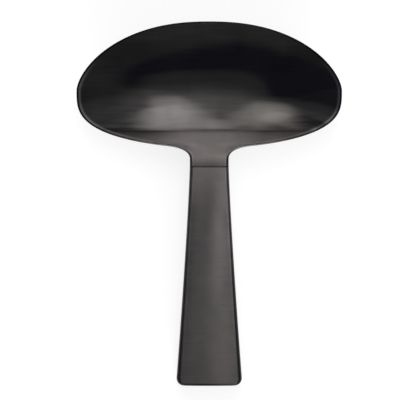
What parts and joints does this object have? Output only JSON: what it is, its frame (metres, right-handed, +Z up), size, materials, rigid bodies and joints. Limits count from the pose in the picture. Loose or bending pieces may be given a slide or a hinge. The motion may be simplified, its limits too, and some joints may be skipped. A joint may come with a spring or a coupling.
{
  "type": "soup spoon",
  "caption": "Black coated steel soup spoon with a polished, wide oval bowl on a filleted neck and a short, flared hollow bar handle that lies flat on the table.",
  "frame": {"origin": "on the table, under the middle of the spoon's bounding box", "axes": "+Z up, +Y along the spoon from the handle to the tip of the bowl, +X across the bowl"},
  "size_m": [0.0764, 0.105, 0.0117],
  "materials": {
    "bowl_steel": "black coat, polished in the bowl and brushed satin on the lip and neck",
    "handle_steel": "black coat over crosswise brushing, satin",
    "braze": "ground flush and coated black with the steel",
    "cement": "cast cement, out of sight"
  },
  "bodies": {
    "root": {"bowl": "bowl_steel", "handle_top_shell": "handle_steel", "handle_bottom_shell": "handle_steel", "seam_braze": "braze", "neck_braze": "braze", "handle_filler": "cement"}
  },
  "joints": []
}
